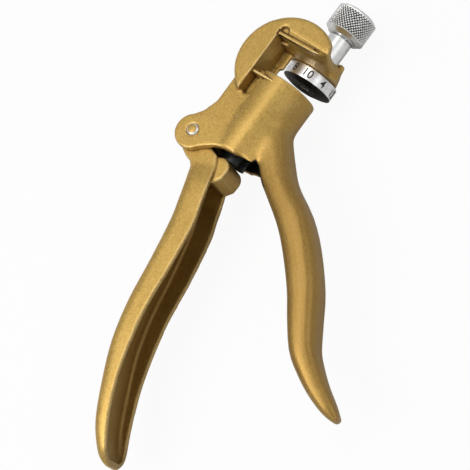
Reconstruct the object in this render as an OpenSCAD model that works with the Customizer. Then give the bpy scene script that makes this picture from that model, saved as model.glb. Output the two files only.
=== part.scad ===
// Pistol-grip saw set: a cast frame with a round sighting plate, a squeeze lever,
// a two-stage plunger and a turning anvil disc held by a knurled screw.
// Everything is drawn about the plunger axis (X forward, Z up) and moved to the floor at the end.

/* [Sighting plate] */
// Radius of the round plate
plate_r = 18.4; // [17.2:0.1:20]
// Thickness of the plate
plate_t = 3.4; // [2.6:0.1:4.2]
// Height of the plate's face above the plunger axis
plate_top = 14; // [13.4:0.1:15]
// Distance from the plunger axis to the wall at the back of the window
window_wall = 9; // [8.2:0.1:9.8]
// Width of the long slot along that wall
slot_w = 3.4; // [3:0.1:3.8]
// How far the slot runs behind the plate's centre
slot_rear = 15.7; // [15:0.1:16]
// How far the slot runs in front of the plate's centre
slot_front = 12.3; // [11:0.1:13]
// Thickness of the long sighting rib
rib_t = 1.1; // [0.8:0.1:1.5]
// Height of the wall's foot, which rests on the teeth, above the plunger axis
wall_foot = 1; // [0.6:0.1:1.6]

/* [Barrel] */
// Outer radius of the barrel
barrel_r = 12.2; // [11.8:0.1:12.6]
// Distance from the plate's centre back to the barrel's front face
barrel_face = 4.4; // [4:0.1:5]
// Length of the front bore that guides the clamping sleeve
guide_len = 7.6; // [6:0.1:9]
// Radius of the chamber behind the guide
chamber_r = 8.6; // [8.4:0.1:9]
// Thickness of the top and bottom skin at the rear opening
skin_t = 3; // [2.5:0.1:3.3]

/* [Ears and pivot] */
// Half of the casting's thickness at the ears
ear_half = 11.2; // [11:0.1:11.6]
// Radius of the rounded ears
ear_r = 6.7; // [6.4:0.1:7]
// Distance from the plate's centre back to the pivot
pivot_back = 36.6; // [36.3:0.1:37]
// Distance from the plunger axis to the pivot
pivot_side = 15.4; // [15.2:0.1:15.8]
// Radius of the pivot pin
pin_r = 2.3; // [1.8:0.1:2.6]
// How far each end of the pin stands proud of its ear
pin_proud = 0.8; // [0.5:0.1:1.2]

/* [Lever] */
// Length of the lever from the pivot to its tip
lever_len = 113; // [109:0.5:117]
// Largest half width of the lever across its channel
lever_half = 11.5; // [11:0.1:12]
// Wall thickness of the lever's channel
lever_wall = 2; // [1.6:0.1:2.4]
// Radius of the lever's nose, which pushes the striker
nose_r = 4; // [3.7:0.1:4.2]
// How far the squeeze turns the lever, in degrees
lever_swing = 15; // [13:1:16]

/* [Fixed handle] */
// Distance of the fixed handle's tip to the side of the plunger axis
grip_len = 89; // [85:0.5:93]
// Half of the fixed handle's thickness where the hand holds it
grip_half = 8.6; // [8:0.1:9]

/* [Plunger] */
// Radius of the clamping sleeve's nose
sleeve_r = 6; // [5.6:0.1:6.3]
// Thickness of the sleeve's collar
collar_t = 3; // [2.5:0.1:3.5]
// Radius of the striker's shank
striker_r = 2.5; // [2.2:0.1:2.8]
// Radius of the striker's tail
tail_r = 5; // [4.8:0.1:5.4]
// Length of the striker's tail
tail_len = 10; // [9.5:0.1:11]
// How far the sleeve's nose stands proud of the barrel at rest
sleeve_proud = 1.05; // [0.8:0.05:1.2]
// Thickness of the saw plate that the sleeve clamps
blade_t = 1.2; // [0.8:0.1:1.6]
// Wire thickness of the return spring
return_wire = 1; // [0.8:0.1:1.1]
// Wire thickness of the striker spring
striker_wire = 0.8; // [0.6:0.1:0.9]

/* [Anvil] */
// Radius of the anvil disc
disc_r = 9.9; // [9.6:0.1:10.1]
// Thickness of the anvil disc
disc_t = 6; // [5.6:0.1:6.4]
// Distance from the plate's centre to the anvil's working face
anvil_face = 1.2; // [1:0.05:1.4]
// Depth of the anvil screw's axis below the plunger axis
screw_drop = 9.4; // [9.2:0.1:9.6]
// Distance of the anvil screw's axis to the side of the plunger axis
screw_side = 0.8; // [0:0.1:1]
// How far the bevel's centre is offset, so its width changes round the disc
bevel_shift = 1.1; // [0.6:0.1:1.3]
// Thickness of the arm that carries the anvil
arm_t = 6.25; // [5.85:0.1:6.55]
// Radius of the arm's round end
arm_r = 9.3; // [9:0.1:9.5]

/* [Anvil screw and knob] */
// Radius of the screw's plain shoulder
shoulder_r = 4.65; // [4.2:0.05:5]
// Length of the shoulder between washer and knob
shoulder_len = 10.2; // [9:0.1:12]
// Radius of the screw's stud
stud_r = 2.5; // [2.2:0.1:2.8]
// Thickness of the washer ring
washer_t = 0.9; // [0.6:0.1:1.2]
// Radius of the knurled knob
knob_r = 7.95; // [7.4:0.05:8.3]
// Length of the knurled knob
knob_len = 11; // [10:0.1:12]

/* [Fits] */
// Radial clearance of a running fit
run_fit = 0.06; // [0.03:0.01:0.08]
// Clearance between flat faces that slide or turn
face_gap = 0.15; // [0.1:0.01:0.2]
// Clearance between loose cast parts
cast_gap = 0.5; // [0.4:0.05:0.6]

/* [Hidden] */
$fn = 96;
gold = [0.72, 0.6, 0.34];
steel = [0.8, 0.8, 0.82];
blackened = [0.12, 0.13, 0.13];

// Reaches that only have to pass right through what they cut
through = 60;
bite = 0.5;

pivot = [-pivot_back, pivot_side];
ear_centre = pivot + [-0.6, 0];
cheek_half = ear_half - skin_t;
head_half = cheek_half - face_gap;

// The nose's centre starts behind the pin's cross line and swings up towards it,
// so its push on the striker is almost steady
nose_lag = 21.3;
nose_arm = pivot_side / cos(nose_lag);
nose = pivot + nose_arm * [-sin(nose_lag), -cos(nose_lag)];
striker_stroke = nose_arm * (sin(nose_lag) - sin(nose_lag - lever_swing));
tail_x = nose[0] + nose_r + face_gap;
tooth_gap = 0.65;
striker_x = anvil_face - tooth_gap - striker_stroke;
sleeve_x = -barrel_face + sleeve_proud;
sleeve_stroke = anvil_face - blade_t - sleeve_x;

collar_r = chamber_r - 0.3;
chamber_x = -barrel_face - guide_len;
tail_front = tail_x + tail_len;
// The striker's tail stops this far short of the sleeve at full squeeze
end_clear = 0.5;
collar_back = tail_front + striker_stroke - sleeve_stroke + end_clear;
collar_x = collar_back + collar_t;
chamber_back = -31.5;
// Behind barrel_bend the barrel's outside narrows towards the ears
barrel_bend = -24;
barrel_back = -35.8;
barrel_back_r = 11.7;
pocket_r = tail_r - 0.7;
pocket_x = -16;

arm_rear = anvil_face + disc_t + face_gap;
arm_front = arm_rear + arm_t;
arm_taper = 1.4;
flank_round = 3.2;
brow_inset = 2;
flank_inset = 0.6;
lip_len = 3.4;
scoop_rise = 0.5;
shoulder_x = arm_front + washer_t;
knob_x = shoulder_x + shoulder_len;
tenon_r = 3.2;
tenon_len = knob_len - 3;
stud_x = anvil_face + 0.8;
washer_r = shoulder_r + 0.15;

// Window in the plate: its front end, and the long rib that stands just behind that
window_front = 11.8;
rib_x = 9.3;
short_rib_x = -7.1;
slot_floor = 8;
pocket_depth = 1.5;
// The foot starts just ahead of the sleeve's nose at full squeeze
foot_x = sleeve_x + sleeve_stroke + 0.45;
foot_w = 3.8;
sill_w = 2.5;

// The row's origin: middle of the outline, on the plane of the lowest point
ear_reach = pivot_side + ear_r;
origin = [(knob_x + knob_len - pivot_back - lever_len) / 2, (ear_reach - grip_len) / 2, -screw_drop - disc_r];

// Stations of the lever as the photo gives them: back point, open edge point, half width;
// their distance from the pivot is stretched to the lever's length
lever_shape = [
    [-41.8, 14.2, -39.5, 3.0, head_half - 0.4],
    [-46.0, 11.3, -42.8, 1.0, head_half - 0.1],
    [-53.0, 8.1, -49.7, -1.6, lever_half - 2.3],
    [-60.5, 5.5, -57.6, -4.2, lever_half - 1.9],
    [-67.8, 3.2, -65.4, -6.7, lever_half - 1.6],
    [-83.4, -0.1, -81.8, -9.4, lever_half - 0.8],
    [-99.1, -2.8, -97.3, -11.3, lever_half - 0.3],
    [-113.7, -7.0, -110.8, -14.5, lever_half],
    [-126.8, -13.1, -123.3, -18.6, lever_half],
    [-139.2, -20.0, -135.3, -24.3, lever_half - 0.5],
    [-146.4, -26.1, -143.4, -29.3, lever_half - 1.9],
    [-148.9, -29.3, -146.6, -31.3, lever_half - 4.3],
    [-149.6, -31.4, -148.8, -32.2, lever_half - 7.8]
];
shape_pivot = -36.6;
lever_stretch = lever_len / 113;
function from_pivot(x) = (x - shape_pivot) * lever_stretch - pivot_back;
lever_stations = [for (s = lever_shape) [from_pivot(s[0]), s[1], from_pivot(s[2]), s[3], s[4]]];
// Stations of the fixed handle in the same way: middle point, half width, half thickness
grip_shape = [
    [-15.0, -3.4, 5.2, 8.0],
    [-23.4, -8.2, 6.7, 8.8],
    [-31.0, -15.4, 6.6, 9.0],
    [-36.5, -22.4, 5.9, grip_half + 0.6],
    [-43.1, -33.1, 6.2, grip_half + 0.4],
    [-50.6, -41.9, 6.3, grip_half + 0.2],
    [-61.4, -51.9, 6.1, grip_half],
    [-70.2, -58.2, 5.7, grip_half - 0.3],
    [-78.6, -64.5, 5.1, grip_half - 0.8],
    [-83.2, -70.2, 4.5, grip_half - 1.6],
    [-87.2, -76.6, 3.8, grip_half - 2.6],
    [-90.5, -83.8, 2.8, grip_half - 4.0],
    [-92.2, -88.7, 1.2, grip_half - 6.0]
];
grip_stretch = grip_len / 89;
grip_stations = [for (s = grip_shape) [s[0], s[1] * grip_stretch, s[2], s[3]]];

// Point on a smooth curve through the stations, for p from 0 to the last station
function knot(s, i) = s[max(0, min(len(s) - 1, i))];
function smooth(s, p) =
    let (i = min(floor(p), len(s) - 2), t = p - i)
    let (a = knot(s, i - 1), b = knot(s, i), c = knot(s, i + 1), d = knot(s, i + 2))
    0.5 * (2 * b + (c - a) * t + (2 * a - 5 * b + 4 * c - d) * t * t + (3 * b - a - 3 * c + d) * t * t * t);
function unit(v) = v / norm(v);

// Closed skin over rings that all have the same number of points
module skin(rings) {
    n = len(rings[0]);
    last = len(rings) - 1;
    sides = [for (i = [0:last - 1], j = [0:n - 1]) let (k = (j + 1) % n)
        each [[i * n + j, (i + 1) * n + j, i * n + k], [i * n + k, (i + 1) * n + j, (i + 1) * n + k]]];
    start_cap = [for (j = [1:n - 2]) [0, j, j + 1]];
    end_cap = [for (j = [1:n - 2]) [last * n, last * n + j + 1, last * n + j]];
    polyhedron([for (ring = rings) each ring], concat(start_cap, sides, end_cap));
}

// Ring of a rounded bar, square to its path
function grip_ring(p, side) =
    let (s = smooth(grip_stations, p))
    let (ahead = smooth(grip_stations, min(p + 0.1, len(grip_stations) - 1)))
    let (behind = smooth(grip_stations, max(p - 0.1, 0)))
    let (along = unit([ahead[0] - behind[0], ahead[1] - behind[1]]))
    let (across = [-along[1], along[0]])
    [for (q = [0:side - 1])
        let (turn = 360 * q / side)
        let (c = cos(turn), d = sin(turn))
        let (x = s[2] * sign(c) * pow(abs(c), 0.75), z = s[3] * sign(d) * pow(abs(d), 0.7))
        [s[0] + across[0] * x, s[1] + across[1] * x, z]];

// Ring of the lever's channel, from its open edge round the back; inset makes the hollow
function lever_ring(p, inset, open) =
    let (s = smooth(lever_stations, p))
    let (back = [s[0], s[1]], edge = [s[2], s[3]])
    let (out = unit(back - edge), depth = norm(back - edge) - inset)
    let (half = s[4] - inset, soft = min(3.6 - inset, depth * 0.8, half * 0.7))
    [for (q = concat([[-half, -open]], lever_corner(-1, half, depth, soft), lever_corner(1, half, depth, soft),
        [[half, -open]])) [edge[0] + out[0] * q[1], edge[1] + out[1] * q[1], -q[0]]];
function lever_corner(way, half, depth, soft) =
    [for (k = [0:4]) let (turn = way < 0 ? 22.5 * k : 90 - 22.5 * k)
        [way * (half - soft + soft * cos(turn)), depth - soft + soft * sin(turn)]];

module place() {
    translate(-origin) children();
}

// Rod along X from one x to another, at height z
module rod(from, to, r, z = 0, r2 = -1) {
    translate([from, 0, z]) rotate([0, 90, 0]) cylinder(h = to - from, r1 = r, r2 = r2 < 0 ? r : r2);
}

// Rod on the anvil screw's axis
module screw_rod(from, to, r, r2 = -1) {
    translate([0, -screw_side, 0]) rod(from, to, r, -screw_drop, r2);
}

// Disc about the pivot or the nose, with rounded rims
module round_boss(at, r, half, rim) {
    translate([at[0], at[1], 0]) rotate_extrude() {
        translate([0, -half]) square([r - rim, 2 * half]);
        translate([0, rim - half]) square([r, 2 * (half - rim)]);
        for (way = [-1, 1])
            translate([r - rim, way * (half - rim)]) circle(rim, $fn = 32);
    }
}

// Round plate with a soft upper rim
module plate_disc() {
    rim = 1;
    translate([0, 0, plate_top - plate_t]) rotate_extrude() {
        square([plate_r - rim, plate_t]);
        square([plate_r, plate_t - rim]);
        translate([plate_r - rim, plate_t - rim]) circle(rim, $fn = 32);
    }
}

// Outer form of the sighting plate and the spine that joins barrel and arm
module plate_and_spine() {
    difference() {
        union() {
            plate_disc();
            translate([0, 0, wall_foot]) cylinder(h = plate_top - plate_t - wall_foot + bite, r = plate_r - 2.2);
        }
        // Open side of the plate, beside the barrel and over the arm
        translate([-plate_r - bite, -plate_r - bite, -bite])
            cube([plate_r + window_front + bite, plate_r + window_wall + bite, plate_top + 2 * bite]);
        translate([window_front - bite, -plate_r - bite, -bite])
            cube([plate_r, plate_r + window_wall + bite, plate_top - plate_t + bite]);
        // Corner where the plate runs out towards the screw
        translate([10, -side_reach(10), -bite]) rotate([0, 0, atan(side_slope)])
            translate([-plate_r, -plate_r, 0]) cube([3 * plate_r, plate_r, plate_top + 2 * bite]);
    }
}

// The arm's open side leans in towards the screw
side_slope = 0.346;
function side_reach(x) = 12.8 - side_slope * (x - 10);

// Outline of the lower arm, from the wall over the edge and round the end;
// on the open side its edge is rounded and its front stands back by the inset
function arm_ring(x, r, inset) =
    let (side_x = x - inset)
    concat(
        [[x, window_wall + 4.4, 8.4], [x, window_wall, 7.7]],
        [for (q = [[5.5, 0.9], [2.6, -0.6], [1.1, -2.4], [0.8, -4.6]]) [side_x, q[0] - side_reach(side_x), q[1]]],
        [for (turn = [200:13:330]) [x, r * cos(turn) - screw_side, r * sin(turn) - screw_drop]],
        [[x, window_wall + 4, 3]]);

// Profile of the upper arm, rounding down from the plate to the edge above the disc
// and, from 0.7 of its width on, round the corner of the open side
function brow_ring(t) =
    let (corner = min(1, max(0, t - 0.7) / 0.3), turned = flank_round * (1 - sqrt(1 - corner * corner)))
    let (wall = [[arm_front, plate_top], [window_front + 0.2, plate_top], [rib_x + 0.1, 12.2], [arm_rear + 0.5, 9.6],
        [arm_rear, 7.7], [arm_rear, 6.7], [arm_front, 6.7]])
    let (side = [[12.3, plate_top], [10.6, 13.7], [rib_x + 0.1, 12], [7.9, 7],
        [arm_rear, -1.5], [arm_rear, -2.5], [arm_front - brow_inset, -2.5]])
    let (give = [[0, 0], [0, 0], [0.2, -0.2], [0.8, 0], [1, 0], [1, 0], [0, 0]])
    [for (i = [0:len(wall) - 1]) let (at = (1 - t) * wall[i] + t * side[i] + turned * give[i])
        [at[0], (1 - t) * (window_wall + bite) - t * (side_reach(at[0]) - 0.1 * (plate_top - at[1])), at[1]]];

// Arm that stands between the plate and the anvil screw
module arm() {
    skin([arm_ring(arm_rear, arm_r, 0), arm_ring(arm_front, arm_r - arm_taper, flank_inset)]);
    skin([for (t = [0, 0.25, 0.5, 0.7, 0.79, 0.87, 0.93, 0.98, 1]) brow_ring(t)]);
    // Lip under the shoulder, on the arm's front
    difference() {
        screw_rod(arm_front - 3 * bite, arm_front + lip_len, arm_r - arm_taper - 0.2);
        screw_rod(arm_front - bite, arm_front + lip_len + bite, washer_r + cast_gap);
        translate([arm_front - bite, -arm_r - 2 * bite, -screw_drop - 3])
            cube([lip_len + 2 * bite, 2 * arm_r + 4 * bite, 2 * arm_r]);
    }
}

// Pointed rib across the window; the slack makes the groove round it
module sighting_rib(x, tip, foot, top, slack = 0) {
    half = rib_t / 2 + slack;
    translate([x, 0, foot]) linear_extrude(top - foot)
        polygon([[-half, window_wall + bite], [-half, tip + 3.2], [0, tip - slack], [half, tip + 3.2],
            [half, window_wall + bite]]);
}

// Side outline of the casting's rear, from the spine over the ear to the handle's root
module rear_outline() {
    translate(ear_centre) circle(ear_r);
    polygon([[-8, 15], [-12, 14.4], [-23, 14.4], [-28.4, 16.4], [-32.6, 19.8], ear_centre + ear_r * [cos(120), sin(120)],
        ear_centre + ear_r * [cos(235), sin(235)], [-38.9, 6.9], [-37.4, 4.5], [-36.6, 1.8], [-36.2, -2],
        [-36.1, -6.5], [-36.6, -11.6], [-38.4, -16.6], [-33, -17.5], [-27, -13.5], [-21, -9], [-14, -4], [-8, 0]]);
}

// Flat top and bottom of the rear, falling away towards the fixed handle
module rear_roof() {
    rotate([90, 0, 90]) translate([0, 0, -through]) linear_extrude(through)
        polygon([[ear_reach + bite, ear_half], [-3.5, ear_half], [-10, 8.8], [-20, 5.5],
            [-20, -5.5], [-10, -8.8], [-3.5, -ear_half], [ear_reach + bite, -ear_half]]);
}

// Room for the lever's head between the ears
module rear_hollow() {
    translate([0, 0, -cheek_half]) linear_extrude(2 * cheek_half) {
        translate(pivot) circle(ear_r + cast_gap);
        polygon([[-through, through], pivot + [ear_r + cast_gap, through], pivot + [ear_r + cast_gap, 0], [chamber_back + 0.6, 4],
            [chamber_back - 0.4, -9], [-35.6, -13.4], [-40, -15.4], [-through, -18]]);
    }
}

module frame_body() {
    plate_and_spine();
    arm();
    rod(barrel_bend, -barrel_face, barrel_r);
    rod(barrel_back, barrel_bend, barrel_back_r, 0, barrel_r);
    intersection() {
        translate([0, 0, -ear_half]) linear_extrude(2 * ear_half) rear_outline();
        rear_roof();
    }
    round_boss(ear_centre, ear_r, ear_half, 1.2);
    rings = 3 * (len(grip_stations) - 1);
    skin([for (i = [0:rings]) grip_ring(i / 3, 20)]);
}

module frame_casting() {
    color(gold) place() difference() {
        frame_body();
        // Long slot beside the wall, round at both ends, and the groove round the long rib
        for (x = [slot_w / 2 - slot_rear, slot_front - slot_w / 2])
            translate([x, window_wall - slot_w / 2, slot_floor]) cylinder(h = through, r = slot_w / 2);
        translate([slot_w / 2 - slot_rear, window_wall - slot_w, slot_floor])
            cube([slot_rear + slot_front - slot_w, slot_w, through]);
        sighting_rib(rib_x, -9.3, 11.2, through, 0.55);
        // Guide bore, spring chamber and the room behind it
        rod(chamber_x - bite, bite, sleeve_r + run_fit);
        rod(chamber_back - 2.5, chamber_x, chamber_r);
        rear_hollow();
        // Pin holes through both ears, and the screw's hole through the arm
        translate([pivot[0], pivot[1], -through / 2]) cylinder(h = through, r = pin_r);
        screw_rod(arm_rear - bite, arm_front + bite, stud_r + run_fit);
    }
    color(gold) place() {
        sighting_rib(rib_x, -9.3, slot_floor - bite, plate_top - 1);
        sighting_rib(short_rib_x, 0.4, slot_floor - bite, plate_top - 1.4);
        // Ahead of the long rib the slot is only a shallow pocket
        translate([rib_x, window_wall - slot_w - bite, slot_floor - bite])
            cube([slot_front - rib_x + bite, slot_w + 2 * bite, plate_top - pocket_depth - slot_floor + bite]);
        // Small foot that stands on the saw's teeth, and the sill from it to the barrel
        translate([foot_x, window_wall - foot_w, wall_foot - 0.8])
            cube([arm_rear - foot_x + bite, foot_w + bite, 1.6]);
        translate([-barrel_face - bite, window_wall - sill_w, wall_foot - 0.8])
            cube([barrel_face + foot_x + 2 * bite, sill_w + bite, 1.2]);
    }
}

module squeeze_lever() {
    rings = 4 * (len(lever_stations) - 1);
    color(gold) place() difference() {
        union() {
            difference() {
                skin([for (i = [0:rings]) lever_ring(i / 4, 0, 0)]);
                // The channel ends in a scoop that grows shallow towards the tip
                skin([for (i = [6:rings - 4])
                    lever_ring(i / 4, lever_wall + scoop_rise * pow(max(0, (i - rings + 9) / 5), 2), 6)]);
            }
            round_boss(pivot, ear_r - 0.9, head_half, 0.8);
            round_boss(nose, nose_r, head_half - 0.8, 0.6);
            translate([0, 0, -head_half]) linear_extrude(2 * head_half)
                polygon([pivot + (ear_r - 1) * [cos(130), sin(130)], pivot + (ear_r - 1) * [cos(-95), sin(-95)],
                    nose + [nose_r - 0.8, 2.9], [-43.4, 0.9], [-46.2, -0.3], [-48, 9], [-46.1, 10.8], [-45.6, 13], [-44, 16]]);
            translate([0, 0, 0.8 - head_half]) linear_extrude(2 * (head_half - 0.8))
                polygon([nose + [1, nose_r - 0.2], nose + [0.4, -nose_r], nose + [-3, 0.2 - nose_r], [-48.6, -1.6],
                    [-48.4, 2]]);
        }
        translate([pivot[0], pivot[1], -through / 2]) cylinder(h = through, r = pin_r + run_fit);
    }
}

module pivot_pin() {
    end_x = ear_half + pin_proud;
    color(steel) place() translate([pivot[0], pivot[1], 0]) rotate_extrude()
        polygon([[0, -end_x], [pin_r - 0.7, -end_x], [pin_r, 0.7 - end_x], [pin_r, end_x - 0.7],
            [pin_r - 0.7, end_x], [0, end_x]]);
}

module clamping_sleeve() {
    color(blackened) place() difference() {
        union() {
            rod(collar_x, sleeve_x, sleeve_r);
            rod(collar_back, collar_x, collar_r);
        }
        rod(collar_back - bite, sleeve_x + bite, striker_r + run_fit);
        rod(collar_back - bite, pocket_x, pocket_r);
    }
}

module striker() {
    color(blackened) place() difference() {
        union() {
            rod(tail_front, striker_x, striker_r);
            rod(tail_x, tail_front, tail_r);
        }
        // Slanted flats leave a narrow edge that meets one tooth
        for (way = [-1, 1])
            translate([striker_x + 0.2, way * 1.1, 0]) rotate([0, 0, way * -28])
                translate([-8, way > 0 ? 0 : -6, -6]) cube([16, 6, 12]);
    }
}

// Coil along X: flattened ends aside, one unbroken tube of round wire
module coil_spring(from, to, mean_r, wire, curls) {
    steps = 8 * curls;
    lead = (to - from - wire) / curls;
    skin([for (i = [0:steps])
        let (turn = 45 * i, x = from + wire / 2 + lead * i / 8)
        [for (k = [0:5]) let (a = 60 * k, r = mean_r + wire / 2 * cos(a))
            [x + wire / 2 * sin(a), r * cos(turn), r * sin(turn)]]]);
    echo("least gap between curls", lead - wire);
}

module return_spring() {
    color(steel) place()
        coil_spring(collar_x + face_gap, chamber_x - face_gap, (sleeve_r + chamber_r) / 2, return_wire, 5);
}

module striker_spring() {
    color(steel) place()
        coil_spring(tail_front + face_gap, pocket_x - face_gap, (striker_r + pocket_r) / 2, striker_wire, 7);
}

// Disc with a slanted rim of changing width on its working face
module anvil_disc() {
    bevel_h = 1.5;
    color(steel) place() difference() {
        intersection() {
            screw_rod(anvil_face, anvil_face + disc_t, disc_r);
            union() {
                translate([0, bevel_shift, 0])
                    screw_rod(anvil_face, anvil_face + bevel_h, disc_r - 3.4, disc_r + bevel_shift + 0.4);
                screw_rod(anvil_face + bevel_h, anvil_face + disc_t, disc_r + bite);
            }
        }
        screw_rod(anvil_face - bite, anvil_face + disc_t + bite, stud_r + run_fit);
    }
}

module anvil_screw() {
    color(steel) place() {
        screw_rod(stud_x, shoulder_x + bite, stud_r);
        screw_rod(shoulder_x, knob_x, shoulder_r);
        screw_rod(knob_x - bite, knob_x + tenon_len, tenon_r);
    }
}

module washer_ring() {
    color(steel) place() difference() {
        screw_rod(arm_front + 0.02, shoulder_x - 0.02, washer_r);
        screw_rod(arm_front - bite, shoulder_x + bite, stud_r + run_fit);
    }
}

module knurled_knob() {
    rim = 1.1;
    color(steel) place() difference() {
        union() {
            screw_rod(knob_x, knob_x + rim, knob_r - rim, knob_r);
            screw_rod(knob_x + rim, knob_x + knob_len - rim, knob_r);
            screw_rod(knob_x + knob_len - rim, knob_x + knob_len, knob_r, knob_r - rim);
        }
        screw_rod(knob_x - bite, knob_x + tenon_len, tenon_r);
    }
}

echo("origin", origin, "striker stroke", striker_stroke, "sleeve stroke", sleeve_stroke);

frame_casting();
squeeze_lever();
pivot_pin();
clamping_sleeve();
return_spring();
striker();
striker_spring();
anvil_disc();
anvil_screw();
washer_ring();
knurled_knob();
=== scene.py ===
import math

import bmesh
import bpy
import numpy as np
from mathutils import Matrix, Vector


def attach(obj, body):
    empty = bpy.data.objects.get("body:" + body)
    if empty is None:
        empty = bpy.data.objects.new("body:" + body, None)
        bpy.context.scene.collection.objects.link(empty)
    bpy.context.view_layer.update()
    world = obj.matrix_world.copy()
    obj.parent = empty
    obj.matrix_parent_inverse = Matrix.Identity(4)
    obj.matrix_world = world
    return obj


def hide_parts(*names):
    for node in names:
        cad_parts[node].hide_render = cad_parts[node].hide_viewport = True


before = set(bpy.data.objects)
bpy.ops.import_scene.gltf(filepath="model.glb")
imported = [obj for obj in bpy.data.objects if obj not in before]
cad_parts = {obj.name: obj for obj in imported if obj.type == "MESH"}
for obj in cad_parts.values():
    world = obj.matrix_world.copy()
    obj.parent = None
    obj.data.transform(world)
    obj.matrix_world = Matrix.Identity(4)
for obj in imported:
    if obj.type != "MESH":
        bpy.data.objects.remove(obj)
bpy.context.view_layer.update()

# Sizes below are in millimetres from the crossing of the plunger axis and the sighting plate's
# centre line; ROW moves them to the row frame, whose unit is the metre.
ROW = np.array([56.95, 33.45, 19.3])
MM = 0.001
PIVOT = (-36.6, 15.4)
SCREW = (-0.8, -9.4)
ANVIL_FACE = 1.2
ANVIL_BACK = 7.2
ANVIL_R = 9.9
SHOULDER_X = 14.5
KNOB_X = 24.7
KNOB_END = 35.7
KNOB_R = 7.95

# Painted shade, near black, inside the casting: the barrel's chamber, and the room between the cheeks behind
# it, whose floor runs from its front to its back point in (x, y)
CHAMBER_R = 8.75
CHAMBER_FRONT = -12.4
ROOM_FRONT = -30.4
CHEEK = 8.2
FLOOR_FRONT = (-31.9, -9.0)
FLOOR_BACK = (-40.0, -18.6)

# The long sighting rib, and how far the middle of the groove beside it lies from its centre line
RIB_X = 9.3
RIB_TIP = -9.3
GROOVE_OUT = 0.83

# The knob's knurl: grooves round it, their depth, and their half width as a share of their spacing
GROOVES = 38
GROOVE_DEPTH = 0.42
GROOVE_HALF = 0.28
KNURL_FROM = KNOB_X + 1.5
KNURL_TO = KNOB_END - 1.3

ENAMEL_DEEP = (0.345, 0.205, 0.043)
ENAMEL_PALE = (0.555, 0.365, 0.100)
# Painted shade, darkening creases and the groove beside the long rib
CREASE_SHADE = (0.105, 0.052, 0.010)
RUBBED = (0.76, 0.62, 0.33)
# Painted shade, for the handle, the lever's channel and the casting's inside
HANDLE_SHADE = (0.16, 0.072, 0.008)
CHANNEL_SHADE = (0.07, 0.024, 0.002)
INSIDE_SHADE = (0.018, 0.015, 0.013)


class Shade:
    """An output socket of a material; arithmetic on it adds Math nodes."""

    def __init__(self, tree, socket=None):
        self.tree = tree
        self.socket = socket

    def node(self, kind, values, output=0, **settings):
        """Adds a node, sets or links the inputs in values, and returns one of its outputs."""
        made = self.tree.nodes.new(kind)
        for name, value in settings.items():
            setattr(made, name, value)
        for name, value in values.items():
            if isinstance(value, Shade):
                self.tree.links.new(value.socket, made.inputs[name])
            else:
                made.inputs[name].default_value = value
        return Shade(self.tree, made.outputs[output])

    def math(self, operation, first, second):
        return self.node("ShaderNodeMath", {0: first, 1: second}, operation=operation)

    def __add__(self, other):
        return self.math("ADD", self, other)

    def __mul__(self, other):
        return self.math("MULTIPLY", self, other)

    def __sub__(self, other):
        return self.math("SUBTRACT", self, other)

    def __rsub__(self, other):
        return self.math("SUBTRACT", other, self)

    def __pow__(self, other):
        return self.math("POWER", self, other)

    def __abs__(self):
        return self.math("ABSOLUTE", self, 0)

    __radd__ = __add__
    __rmul__ = __mul__

    def larger(self, other):
        return self.math("MAXIMUM", self, other)

    def within(self, low, high, at_low=0.0, at_high=1.0):
        """Maps low..high of this value to at_low..at_high, held at both ends."""
        values = {"Value": self, "From Min": low, "From Max": high, "To Min": at_low, "To Max": at_high}
        return self.node("ShaderNodeMapRange", values)

    def noise(self, grain_mm, detail=3.0, rough=0.55):
        """Noise whose grains are about grain_mm across, on this vector."""
        values = {"Vector": self, "Scale": 1 / (grain_mm * MM), "Detail": detail, "Roughness": rough}
        return self.node("ShaderNodeTexNoise", values)

    def cells(self, grain_mm):
        """One random colour for each cell of that size, on this vector."""
        values = {"Vector": self, "Scale": 1 / (grain_mm * MM)}
        return self.node("ShaderNodeTexVoronoi", values, output="Color")

    def tint(self, first, second):
        """Colour between first and second by this value."""
        made = self.tree.nodes.new("ShaderNodeMix")
        made.data_type = "RGBA"
        self.tree.links.new(self.socket, made.inputs["Factor"])
        for name, colour in (("A", first), ("B", second)):
            socket = [i for i in made.inputs if i.name == name and i.type == "RGBA"][0]
            if isinstance(colour, Shade):
                self.tree.links.new(colour.socket, socket)
            else:
                socket.default_value = (*colour, 1.0)
        return Shade(self.tree, [o for o in made.outputs if o.type == "RGBA"][0])

    def bump(self, height_mm, strength=1.0, normal=None):
        """Normal bumped by this value, one unit standing height_mm high."""
        values = {"Height": self, "Distance": height_mm * MM, "Strength": strength}
        if normal is not None:
            values["Normal"] = normal
        return self.node("ShaderNodeBump", values)


def material(name, recipe, **fixed):
    """A Principled material: recipe(point, start) gives the linked inputs, fixed the constant ones."""
    made = bpy.data.materials.new(name)
    made.use_nodes = True
    tree = made.node_tree
    shader = tree.nodes["Principled BSDF"]
    start = Shade(tree)
    point = start.node("ShaderNodeTexCoord", {}, output="Object")
    for socket, value in recipe(point, start).items():
        tree.links.new(value.socket, shader.inputs[socket])
    for socket, value in fixed.items():
        shader.inputs[socket.replace("_", " ")].default_value = value
    return made


def tool_axes(point):
    """The three coordinates of a point in tool millimetres."""
    axes = []
    for axis, shift in zip("XYZ", ROW):
        metres = point.node("ShaderNodeSeparateXYZ", {0: point}, output=axis)
        axes.append(metres * (1 / MM) - shift)
    return axes


def inside_shade(point):
    """Painted shade: one inside the casting's chamber and the room behind it, which are painted near black.
    """
    x, y, z = tool_axes(point)
    radius = (y * y + z * z) ** 0.5
    chamber = radius.within(CHAMBER_R, CHAMBER_R + 0.25, 1, 0)
    chamber = chamber * x.within(CHAMBER_FRONT, CHAMBER_FRONT + 0.4, 1, 0)
    floor = x.within(FLOOR_BACK[0], FLOOR_FRONT[0], FLOOR_BACK[1], FLOOR_FRONT[1])
    between = abs(z).within(CHEEK + 0.15, CHEEK + 0.4, 1, 0)
    room = between * (y - floor).within(-0.6, -0.2) * x.within(ROOM_FRONT, ROOM_FRONT + 0.4, 1, 0)
    return chamber.larger(room)


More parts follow.
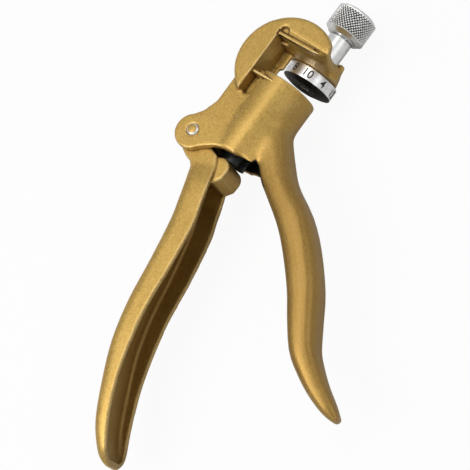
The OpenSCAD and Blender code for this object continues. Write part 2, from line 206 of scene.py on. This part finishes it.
def rib_groove_shade(point):
    """Painted shade: one in the narrow groove on both sides of the long sighting rib, where its shadow falls.
    """
    x, y, z = tool_axes(point)
    away = abs(x - RIB_X) - GROOVE_OUT
    close = abs(away).within(0.28, 0.5, 1, 0)
    along = y.within(RIB_TIP, RIB_TIP + 1) * y.within(8.6, 9.4, 1, 0)
    return close * along * z.within(10.8, 11.6)


def gold_recipe(point, start):
    """Metallic enamel: flakes, cast orange peel, painted shade darkening the creases, and rubbed ridges."""
    flake = point.cells(0.34)
    glint = flake.node("ShaderNodeSeparateColor", {"Color": flake}, output="Red")
    fine = point.noise(0.55, 4.0, 0.7)
    broad = point.noise(14.0, 3.0)
    ridge = start.node("ShaderNodeNewGeometry", {}, output="Pointiness")
    # painted shade: the crease mask darkens concave spots, where shadow falls
    crease = ridge.within(0.468, 0.4975)
    rubbed = ridge.within(0.506, 0.535) * fine.within(0.36, 0.56)
    paint = (glint * 0.35 + fine * 0.3 + broad * 0.35).within(0.25, 0.75)
    body = paint.tint(ENAMEL_DEEP, ENAMEL_PALE)
    deep = crease.tint(CREASE_SHADE, body)
    colour = (rubbed * 0.6).tint(deep, RUBBED)
    peel = point.noise(2.3, 2.0).bump(0.05, 0.5)
    normal = (fine * 0.7 + glint * 0.5).bump(0.03, 0.55, peel)
    rough = (glint * 0.5 + broad * 0.5).within(0.2, 0.8, 0.36, 0.54)
    return {"Base Color": colour, "Roughness": rough, "Normal": normal}


def casting_recipe(point, start):
    """The enamel with painted shade: darker on the handle, dark in the groove beside the long rib, and near
    black inside the chamber and the room behind it.
    """
    look = gold_recipe(point, start)
    # painted shade: the enamel gets darker the further down the handle
    handle_shade = tool_axes(point)[1].within(-21, -7, 0.42, 0)
    handle_shaded = handle_shade.tint(look["Base Color"], HANDLE_SHADE)
    # painted shade in the groove beside the long rib
    groove_shaded = (rib_groove_shade(point) * 0.8).tint(handle_shaded, CREASE_SHADE)
    # painted shade: near black inside the chamber and the room behind it
    look["Base Color"] = inside_shade(point).tint(groove_shaded, INSIDE_SHADE)
    return look


def lever_recipe(point, start):
    """The enamel, with painted shade: much darker on the floor and inner walls of the lever's channel."""
    look = gold_recipe(point, start)
    x, y, z = tool_axes(point)
    normal = start.node("ShaderNodeTexCoord", {}, output="Normal")
    across, along, up = (start.node("ShaderNodeSeparateXYZ", {0: normal}, output=axis) for axis in "XYZ")
    between = abs(z).within(8.6, 9.4, 1, 0)
    floor = (across * 0.5 - along * 0.85).within(0.2, 0.5) * between
    wall = (z.math("SIGN", z, 0) * up).within(-0.7, -0.4, 1, 0)
    depth = x.within(-56, -52, 0.4, 0)
    # painted shade in the lever's channel
    look["Base Color"] = (floor.larger(wall) * depth).tint(look["Base Color"], CHANNEL_SHADE)
    return look


def turned(point):
    """Fine rings left by a lathe whose axis runs along x."""
    stretch = {0: point, 1: (1.0, 0.03, 0.03)}
    return point.node("ShaderNodeVectorMath", stretch, operation="MULTIPLY").noise(0.16, 3.0, 0.7)


def plated_recipe(point, start):
    """Nickel plate with fine lathe rings and painted shade darkening its corners."""
    lines = turned(point)
    cloud = point.noise(3.0, 4.0)
    corner_shade = start.node("ShaderNodeNewGeometry", {}, output="Pointiness").within(0.42, 0.495)
    bright = cloud.within(0.3, 0.7).tint((0.68, 0.68, 0.68), (0.86, 0.86, 0.85))
    colour = corner_shade.tint((0.07, 0.07, 0.072), bright)
    rough = (lines * 0.5 + cloud * 0.5).within(0.3, 0.7, 0.30, 0.42)
    return {"Base Color": colour, "Roughness": rough, "Normal": lines.bump(0.012, 0.35)}


def knurl_recipe(point, start):
    """Plate over the diamond knurl, with painted shade in the same grooves that knurl() cuts."""
    x, y, z = tool_axes(point)
    turn = z.math("ARCTAN2", z - SCREW[1], y - SCREW[0])
    along = x - KNURL_FROM
    ways = []
    for way in (-1, 1):
        wave = (turn + along * (way / KNOB_R)) * (GROOVES / (2 * math.pi))
        ways.append(wave.math("PINGPONG", wave, 0.5).within(0.02, GROOVE_HALF, 1.0, 0.0))
    length = KNURL_TO - KNURL_FROM
    cut = ways[0].larger(ways[1])
    cut = cut * along.within(-0.3, 0.3) * along.within(length - 0.3, length + 0.3, 1, 0)
    cloud = point.noise(1.4, 4.0, 0.65)
    bright = cloud.within(0.3, 0.7).tint((0.62, 0.62, 0.61), (0.90, 0.90, 0.89))
    # painted shade: the knurl's grooves are darkened
    colour = cut.within(0.3, 0.85).tint(bright, (0.025, 0.024, 0.022))
    rough = cloud.within(0.3, 0.7, 0.26, 0.42)
    return {"Base Color": colour, "Roughness": rough, "Normal": cloud.bump(0.01, 0.3)}


def ground_recipe(point, start):
    """Turned steel, bright, with fine lathe rings."""
    lines = turned(point)
    cloud = point.noise(1.6, 5.0, 0.65)
    colour = cloud.within(0.35, 0.68).tint((0.66, 0.66, 0.67), (0.90, 0.90, 0.89))
    rough = (lines * 0.6 + cloud * 0.4).within(0.3, 0.7, 0.24, 0.42)
    return {"Base Color": colour, "Roughness": rough, "Normal": lines.bump(0.02, 0.4)}


def face_shade_recipe(point, start):
    """The anvil's working face painted near black as shade, with faint grinding marks."""
    marks = point.node("ShaderNodeVectorMath", {0: point, 1: (1.0, 0.12, 1.0)}, operation="MULTIPLY")
    lines = marks.noise(0.22, 3.0, 0.7)
    cloud = point.noise(2.4, 4.0)
    colour = cloud.within(0.35, 0.7).tint((0.007, 0.005, 0.004), (0.028, 0.022, 0.019))
    rough = (lines * 0.5 + cloud * 0.5).within(0.3, 0.7, 0.35, 0.55)
    return {"Base Color": colour, "Roughness": rough, "Normal": lines.bump(0.012, 0.3)}


def black_recipe(point, start):
    """Blackened steel with paler scuffs."""
    cloud = point.noise(1.8, 4.0, 0.6)
    scuff = point.noise(0.5, 3.0, 0.7)
    worn = (cloud * 0.6 + scuff * 0.4).within(0.4, 0.72)
    colour = worn.tint((0.012, 0.013, 0.013), (0.06, 0.062, 0.062))
    rough = cloud.within(0.3, 0.7, 0.26, 0.48)
    return {"Base Color": colour, "Roughness": rough, "Normal": scuff.bump(0.01, 0.3)}


def wire_recipe(point, start):
    """Bare spring wire."""
    cloud = point.noise(0.9, 3.0)
    colour = cloud.within(0.3, 0.7).tint((0.34, 0.34, 0.35), (0.58, 0.58, 0.6))
    rough = cloud.within(0.3, 0.7, 0.25, 0.4)
    return {"Base Color": colour, "Roughness": rough, "Normal": cloud.bump(0.006, 0.3)}


def ink_recipe(point, start):
    """Dark dirt in the stamped figures."""
    cloud = point.noise(0.25, 3.0)
    colour = cloud.within(0.3, 0.7).tint((0.008, 0.008, 0.009), (0.045, 0.045, 0.048))
    rough = cloud.within(0.3, 0.7, 0.5, 0.8)
    return {"Base Color": colour, "Roughness": rough, "Normal": cloud.bump(0.01, 0.4)}


enamel = {"Metallic": 0.72, "Coat_Weight": 0.05, "Coat_Roughness": 0.25}
gold = material("gold_enamel", gold_recipe, **enamel)
casting_gold = material("gold_enamel_casting", casting_recipe, **enamel)
lever_gold = material("gold_enamel_lever", lever_recipe, **enamel)
plated = material("nickel_plate", plated_recipe, Metallic=1.0)
ground = material("ground_steel", ground_recipe, Metallic=1.0)
# painted shade: the anvil's working face and what stands inside the disc are near black
face_shade = material("painted_shade_face", face_shade_recipe, Metallic=0.0, Specular_IOR_Level=0.15)
knurled = material("knurled_plate", knurl_recipe, Metallic=1.0)
blackened = material("blackened_steel", black_recipe, Metallic=0.8)
wire = material("spring_wire", wire_recipe, Metallic=1.0)
ink = material("number_fill", ink_recipe, Metallic=0.0)


def new_object(name, mesh, body, finish, sharp=35):
    """Puts a mesh into the scene with its materials, on its CAD body; edges over sharp degrees stay crisp."""
    made = bpy.data.objects.new(name, mesh)
    bpy.context.collection.objects.link(made)
    mesh.materials.clear()
    for each in finish:
        mesh.materials.append(each)
    mesh.polygons.foreach_set("use_smooth", [True] * len(mesh.polygons))
    if sharp:
        mesh.set_sharp_from_angle(angle=math.radians(sharp))
    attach(made, body)
    return made


def paint_second(mesh, chosen):
    """Gives a face the second material where chosen(its centre in tool millimetres) is true."""
    marks = []
    for face in mesh.polygons:
        marks.append(int(chosen(np.array(face.center) / MM - ROW)))
    mesh.polygons.foreach_set("material_index", marks)


def from_screw(spot):
    """How far a spot in tool millimetres lies from the anvil screw's axis."""
    return math.hypot(spot[1] - SCREW[0], spot[2] - SCREW[1])


def mesh_from(name, points, faces):
    """Mesh from points in tool millimetres."""
    mesh = bpy.data.meshes.new(name)
    mesh.from_pydata([tuple(p) for p in (np.asarray(points) + ROW) * MM], [], faces)
    work = bmesh.new()
    work.from_mesh(mesh)
    bmesh.ops.remove_doubles(work, verts=work.verts, dist=1e-7)
    bmesh.ops.recalc_face_normals(work, faces=work.faces)
    work.to_mesh(mesh)
    work.free()
    return mesh


def eased(profile, radius, steps=4):
    """Rounds the inner corners of an (along, radius) profile."""
    out = [profile[0]]
    for before, here, after in zip(profile, profile[1:], profile[2:]):
        a, b, c = (np.array(p, float) for p in (before, here, after))
        cut = min(radius, np.linalg.norm(a - b) * 0.45, np.linalg.norm(c - b) * 0.45)
        first = b + (a - b) / np.linalg.norm(a - b) * cut
        last = b + (c - b) / np.linalg.norm(c - b) * cut
        for k in range(steps + 1):
            t = k / steps
            out.append(tuple((1 - t) ** 2 * first + 2 * t * (1 - t) * b + t * t * last))
    out.append(profile[-1])
    return out


def strips(rings, sides):
    """Quads that join each ring of points to the next."""
    faces = []
    for i in range(rings - 1):
        for k in range(sides):
            n = (k + 1) % sides
            faces.append((i * sides + k, i * sides + n, (i + 1) * sides + n, (i + 1) * sides + k))
    return faces


def lathe(profile, centre, upright=False, sides=160, shift=None):
    """Points and faces of a turned piece; shift(along, radius, turn) may change its radius."""
    points = []
    for along, radius in profile:
        for k in range(sides):
            turn = 2 * math.pi * k / sides
            r = radius if shift is None else shift(along, radius, turn)
            if upright:
                points.append((centre[0] + r * math.cos(turn), centre[1] + r * math.sin(turn), along))
            else:
                points.append((along, centre[0] + r * math.cos(turn), centre[1] + r * math.sin(turn)))
    return points, strips(len(profile), sides)


def evaluated_mesh(holder):
    """A new mesh of what the object looks like with its modifiers or as text."""
    bpy.context.view_layer.update()
    return bpy.data.meshes.new_from_object(holder.evaluated_get(bpy.context.evaluated_depsgraph_get()))


def remeshed(node, name, voxel_mm):
    """The CAD node's form as one even skin of small quads, as a new mesh."""
    holder = bpy.data.objects.new(name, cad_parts[node].data.copy())
    holder.matrix_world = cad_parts[node].matrix_world.copy()
    bpy.context.collection.objects.link(holder)
    remesh = holder.modifiers.new("skin", "REMESH")
    remesh.mode = "VOXEL"
    remesh.voxel_size = voxel_mm * MM
    mesh = evaluated_mesh(holder)
    mesh.transform(holder.matrix_world)
    bpy.data.objects.remove(holder)
    return mesh


def soften(mesh, passes, weight):
    """Smooths the skin, more where weight is near one; weight takes tool millimetres."""
    count = len(mesh.vertices)
    flat = np.empty(count * 3)
    mesh.vertices.foreach_get("co", flat)
    points = flat.reshape(-1, 3)
    edges = np.empty(len(mesh.edges) * 2, dtype=int)
    mesh.edges.foreach_get("vertices", edges)
    edges = edges.reshape(-1, 2)
    degree = np.bincount(edges.ravel(), minlength=count)[:, None]
    share = weight(points / MM - ROW)[:, None]
    for _ in range(passes):
        total = np.zeros_like(points)
        for axis in range(3):
            total[:, axis] = np.bincount(edges[:, 0], points[edges[:, 1], axis], count)
            total[:, axis] += np.bincount(edges[:, 1], points[edges[:, 0], axis], count)
        points = points + 0.5 * share * (total / degree - points)
    mesh.vertices.foreach_set("co", points.ravel())
    mesh.update()


def ramp(value, low, high):
    """Zero up to low, one from high on."""
    return np.clip((value - low) / (high - low), 0, 1)


# Frame casting. Its skin is softened in three rounds, whose weights take tool millimetres.
def casting_all(p):
    """All of it; the plate's ribs hardly, the pin's bosses less than the rest."""
    x, y, z = p.T
    ribs = ramp(x, -12, -9) * ramp(-x, -12.5, -11.5) * ramp(y, -11, -9.5) * ramp(z, 6, 8)
    bosses = ramp(6.5 - np.hypot(x - PIVOT[0], y - PIVOT[1]), -0.5, 0.5)
    return 1 - 0.95 * ribs - 0.3 * bosses


def casting_arm(p):
    """The arm's bend and outer side, but not the seat round the screw or the plate's face."""
    x, y, z = p.T
    off_seat = ramp(np.hypot(y - SCREW[0], z - SCREW[1]), 5.6, 7.0)
    side = np.maximum(ramp(-y, 3, 7), ramp(x, 12.0, 13.0))
    return ramp(x, 7.4, 8.2) * off_seat * side * ramp(12.8 - z, 0, 1.5)


def casting_blend(p):
    """The flanks and underside where the barrel runs into the handle."""
    x, y, z = p.T
    along = ramp(x, -46, -41) * ramp(-x, 6, 9)
    side = ramp(y, -34, -28) * ramp(-y, -4, 0)
    outer = ramp(np.abs(z), 7.9, 9.0) + ramp(-y, 8.5, 11)
    strip = ramp(np.abs(y), 3.4, 5.4)
    return along * side * strip * np.clip(outer, 0, 1)


skin = remeshed("frame_casting", "frame_casting_skin", 0.24)
soften(skin, 24, casting_all)
soften(skin, 260, casting_blend)
soften(skin, 90, casting_arm)
casting = new_object("frame_casting_shell", skin, "frame", [casting_gold], sharp=0)
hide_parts("frame_casting")


# Squeeze lever: a few even passes leave its thin cheeks their form and its edges soft
def lever_all(p):
    """The same weight everywhere."""
    return np.full(len(p), 0.9)


skin = remeshed("squeeze_lever", "squeeze_lever_skin", 0.32)
soften(skin, 9, lever_all)
lever = new_object("squeeze_lever_shell", skin, "lever", [lever_gold], sharp=0)
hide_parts("squeeze_lever")

# Pivot pin with two peened ends; their middle keeps its paint, their edge is rubbed bright
PIN_END = 12.0
PIN_R = 2.3
PAINTED_R = 1.75
peening = ((0.0, 0.0), (0.04, 0.8), (0.2, 1.5), (0.6, 2.1), (1.0, PIN_R))
pin_half = [(PIN_END - drop, radius) for drop, radius in peening]
pin_profile = [(-z, r) for z, r in pin_half] + [(z, r) for z, r in reversed(pin_half)]
points, faces = lathe(eased(pin_profile, 0.2), PIVOT, upright=True, sides=96)
pin_mesh = mesh_from("pivot_pin", points, faces)
pin = new_object("pivot_pin_turned", pin_mesh, "frame", [ground, gold])
paint_second(pin_mesh, lambda spot: math.dist(spot[:2], PIVOT) < PAINTED_R)
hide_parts("pivot_pin")

# Anvil disc: the working face and its slanted rim, wider on one side, are painted near black as shade; the
# edge is bright
BEVEL_SHIFT = 1.1
BEVEL_SLOPE = 3.27
FACE_R = 6.5
DARK_DEPTH = 1.6
BORE_R = 2.56
DISC_SIDES = 200


def face_edge(turn):
    """Where the flat of the working face ends, off centre so that the slant's width changes."""
    return math.sqrt(FACE_R**2 - (BEVEL_SHIFT * math.sin(turn)) ** 2) + BEVEL_SHIFT * math.cos(turn)


back_edge = [(ANVIL_BACK, BORE_R), (ANVIL_BACK, ANVIL_R - 0.25), (ANVIL_BACK - 0.25, ANVIL_R)]
rings = [[place] * DISC_SIDES for place in back_edge]
slant = []
rim = []
for k in range(DISC_SIDES):
    inner = face_edge(2 * math.pi * k / DISC_SIDES)
    depth = (ANVIL_R - inner) / BEVEL_SLOPE
    rim.append((ANVIL_FACE + depth, ANVIL_R))
    slant.append((ANVIL_FACE, inner))
rings.append(rim)
rings.append(slant)
rings.append([(ANVIL_FACE, BORE_R + 0.3)] * DISC_SIDES)
rings.append([(ANVIL_FACE + 0.3, BORE_R)] * DISC_SIDES)
rings.append(rings[0])
disc_points = []
for ring in rings:
    for k, (along, radius) in enumerate(ring):
        turn = 2 * math.pi * k / DISC_SIDES
        disc_points.append((along, SCREW[0] + radius * math.cos(turn), SCREW[1] + radius * math.sin(turn)))
disc_mesh = mesh_from("anvil_disc", disc_points, strips(len(rings), DISC_SIDES))
disc = new_object("anvil_disc_ground", disc_mesh, "anvil", [ground, face_shade], sharp=12)
paint_second(disc_mesh, lambda spot: spot[0] < ANVIL_FACE + DARK_DEPTH and from_screw(spot) < ANVIL_R - 0.02)
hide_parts("anvil_disc")

FIGURE_TALL = 4.3
FIGURE_FOOT = ANVIL_FACE + 2.1
FIGURE_OUT = ANVIL_R + 0.02


def numeral(text, turn):
    """A number on the anvil's edge: flat dark figures bent round it, their tops towards the knob."""
    curve = bpy.data.curves.new("numeral_" + text, "FONT")
    curve.body = text
    curve.size = 1.0
    curve.align_x = "CENTER"
    curve.offset = 0.012
    holder = bpy.data.objects.new("numeral_" + text, curve)
    bpy.context.collection.objects.link(holder)
    flat = evaluated_mesh(holder)
    bpy.data.objects.remove(holder)
    work = bmesh.new()
    work.from_mesh(flat)
    bmesh.ops.triangulate(work, faces=work.faces)
    bmesh.ops.subdivide_edges(work, edges=work.edges, cuts=1, use_grid_fill=True)
    for vert in work.verts:
        angle = turn - vert.co.x * FIGURE_TALL / ANVIL_R
        along = FIGURE_FOOT + vert.co.y * FIGURE_TALL
        side = SCREW[0] + FIGURE_OUT * math.sin(angle)
        high = SCREW[1] + FIGURE_OUT * math.cos(angle)
        vert.co = Vector((np.array((along, side, high)) + ROW) * MM)
    bmesh.ops.recalc_face_normals(work, faces=work.faces)
    work.to_mesh(flat)
    work.free()
    return new_object("numeral_" + text, flat, "anvil", [ink], sharp=0)


for text, degrees in (("4", -53), ("10", -13), ("8", 21), ("6", 57), ("5", 95), ("12", -93)):
    numeral(text, math.radians(degrees))

# Anvil screw: stud and plain shoulder, turned bright; what stands inside the disc is painted dark as shade
STUD_X = ANVIL_FACE + 0.8
STUD_R = 2.5
SHOULDER_R = 4.65
NECK_R = SHOULDER_R - 0.3
CORE_R = 3.2
screw_profile = [
    (STUD_X, 0.0),
    (STUD_X, STUD_R - 0.4),
    (STUD_X + 0.3, STUD_R),
    (SHOULDER_X, STUD_R),
    (SHOULDER_X, SHOULDER_R - 0.25),
    (SHOULDER_X + 0.25, SHOULDER_R),
    (KNOB_X - 1.1, SHOULDER_R),
    (KNOB_X - 0.9, NECK_R),
    (KNOB_X - 0.3, NECK_R),
    (KNOB_X - 0.3, SHOULDER_R),
    (KNOB_X + 0.5, SHOULDER_R),
    (KNOB_X + 0.5, CORE_R),
    (KNOB_X + 8.0, CORE_R),
    (KNOB_X + 8.0, 0.0),
]
points, faces = lathe(screw_profile, SCREW)
screw_mesh = mesh_from("anvil_screw", points, faces)
screw = new_object("anvil_screw_turned", screw_mesh, "knob", [plated, face_shade])
paint_second(screw_mesh, lambda spot: spot[0] < ANVIL_BACK)
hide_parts("anvil_screw")

# Washer ring between the shoulder and the arm
WASHER_X = (13.62, 14.48)
WASHER_R = 4.8
washer_profile = [
    (WASHER_X[0], BORE_R),
    (WASHER_X[0], WASHER_R - 0.2),
    (WASHER_X[0] + 0.18, WASHER_R),
    (WASHER_X[1] - 0.18, WASHER_R),
    (WASHER_X[1], WASHER_R - 0.2),
    (WASHER_X[1], BORE_R),
    (WASHER_X[0], BORE_R),
]
points, faces = lathe(washer_profile, SCREW)
washer_mesh = mesh_from("washer_ring", points, faces)
washer = new_object("washer_ring_turned", washer_mesh, "washer", [ground])
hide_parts("washer_ring")

# Knurled knob: two families of slanted grooves cut a diamond pattern between plain chamfers
RUN_OUT = 0.2


def knurl(along, radius, turn):
    """The radius left by both families of grooves, which fade out at the knurl's two ends."""
    if along <= KNURL_FROM - RUN_OUT or along >= KNURL_TO + RUN_OUT:
        return radius
    cut = 0.0
    for way in (-1, 1):
        wave = (GROOVES * (turn + way * (along - KNURL_FROM) / radius) / (2 * math.pi)) % 1
        cut = max(cut, 1 - min(wave, 1 - wave) / GROOVE_HALF)
    fade = min(1.0, (along - KNURL_FROM + RUN_OUT) / 0.5, (KNURL_TO + RUN_OUT - along) / 0.5)
    return radius - GROOVE_DEPTH * cut * fade


knob_steps = 84
knob_sides = GROOVES * 14
knob_profile = [(KNOB_X, 4.66), (KNOB_X, 6.2), (KNOB_X + 0.25, 6.45)]
knob_profile += [(KNOB_X + 1.1, KNOB_R - 0.35), (KNOB_X + 1.35, KNOB_R)]
for i in range(knob_steps + 1):
    knob_profile.append((KNURL_FROM + (KNURL_TO - KNURL_FROM) * i / knob_steps, KNOB_R))
knob_profile += [(KNOB_END - 1.0, KNOB_R), (KNOB_END - 0.25, 6.9), (KNOB_END, 6.5), (KNOB_END, 2.2)]
knob_profile += [(KNOB_END - 0.3, 1.6), (KNOB_END - 0.45, 0.0)]
points, faces = lathe(knob_profile, SCREW, sides=knob_sides, shift=knurl)
knob_mesh = mesh_from("knurled_knob", points, faces)
knob = new_object("knurled_knob_cut", knob_mesh, "knob", [knurled], sharp=60)
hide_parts("knurled_knob")

# The carried-over pieces: both plungers and their springs
for name, finish in (
    ("clamping_sleeve", blackened),
    ("striker", blackened),
    ("return_spring", wire),
    ("striker_spring", wire),
):
    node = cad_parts[name]
    node.data.materials.clear()
    node.data.materials.append(finish)
for name in ("clamping_sleeve", "striker"):
    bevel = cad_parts[name].modifiers.new("eased edges", "BEVEL")
    bevel.width = 0.25 * MM
    bevel.segments = 3
    bevel.limit_method = "ANGLE"
    bevel.angle_limit = math.radians(40)


EVENNESS = 0.93
REACH = 1.4
FLOOR_DROP = 0.0006


def floor_material():
    """White paper: the camera sees it almost evenly white, the object sees a plain pale surface."""
    made = bpy.data.materials.new("paper")
    made.use_nodes = True
    tree = made.node_tree
    shader = tree.nodes["Principled BSDF"]
    shader.inputs["Base Color"].default_value = (0.82, 0.82, 0.82, 1)
    shader.inputs["Roughness"].default_value = 0.9
    start = Shade(tree)
    seen = start.node("ShaderNodeLightPath", {}, output="Is Camera Ray")
    glow = start.node("ShaderNodeEmission", {"Color": (1, 1, 1, 1), "Strength": 1.0})
    plain = Shade(tree, shader.outputs[0])
    mixed = start.node("ShaderNodeMixShader", {0: seen * EVENNESS, 1: plain, 2: glow})
    tree.links.new(mixed.socket, tree.nodes["Material Output"].inputs["Surface"])
    return made


paper_mesh = bpy.data.meshes.new("paper")
corners = [(-REACH, -REACH, 0), (REACH, -REACH, 0), (REACH, REACH, 0), (-REACH, REACH, 0)]
paper_mesh.from_pydata(corners, [], [(0, 1, 2, 3)])
paper = bpy.data.objects.new("paper", paper_mesh)
bpy.context.collection.objects.link(paper)
paper_mesh.materials.append(floor_material())
paper.location = (0, 0, -FLOOR_DROP)

# World and lamps: polished steel mirrors a somewhat brighter sky than the one that lights it
SKY = 0.25
SKY_IN_GLOSS = 0.4
world = bpy.data.worlds.new("studio")
bpy.context.scene.world = world
world.use_nodes = True
background = world.node_tree.nodes["Background"]
background.inputs["Color"].default_value = (1, 1, 1, 1)
glossy = Shade(world.node_tree).node("ShaderNodeLightPath", {}, output="Is Glossy Ray")
world.node_tree.links.new((glossy * SKY_IN_GLOSS + SKY).socket, background.inputs["Strength"])


def lamp(name, place, size, power):
    """A soft white area lamp aimed at the tool."""
    light = bpy.data.lights.new(name, "AREA")
    light.shape = "RECTANGLE"
    light.size = size[0]
    light.size_y = size[1]
    light.energy = power
    made = bpy.data.objects.new(name, light)
    bpy.context.collection.objects.link(made)
    made.location = place
    aim = Vector((0, 0, 0.01)) - Vector(place)
    made.rotation_euler = aim.to_track_quat("-Z", "Y").to_euler()


lamp("key", (-0.30, 0.14, 0.50), (0.30, 0.30), 1.7)
lamp("fill", (0.36, -0.40, 0.40), (0.35, 0.35), 0.5)
lamp("overhead", (0.04, 0.14, 0.61), (0.40, 0.20), 1.0)

# Camera at the photograph's place, fitted to the tool's outline and features
CAMERA_PLACE = (-0.057864, -0.228522, 0.500518)
CAMERA_BACK = (-0.10312, -0.45056, 0.88677)
CAMERA_ROLL = -42.553
camera_data = bpy.data.cameras.new("camera")
camera = bpy.data.objects.new("camera", camera_data)
bpy.context.collection.objects.link(camera)
bpy.context.scene.camera = camera
camera_data.sensor_width = 36
camera_data.lens = 118.34
camera_data.clip_start = 0.01
back = Vector(CAMERA_BACK).normalized()
level = Vector((0, 0, 1)).cross(back).normalized()
rise = back.cross(level)
roll = math.radians(CAMERA_ROLL)
right = math.cos(roll) * level + math.sin(roll) * rise
up = -math.sin(roll) * level + math.cos(roll) * rise
turned_to = Matrix((right, up, back)).transposed().to_4x4()
camera.matrix_world = Matrix.Translation(CAMERA_PLACE) @ turned_to

bpy.context.scene.view_settings.view_transform = "Standard"
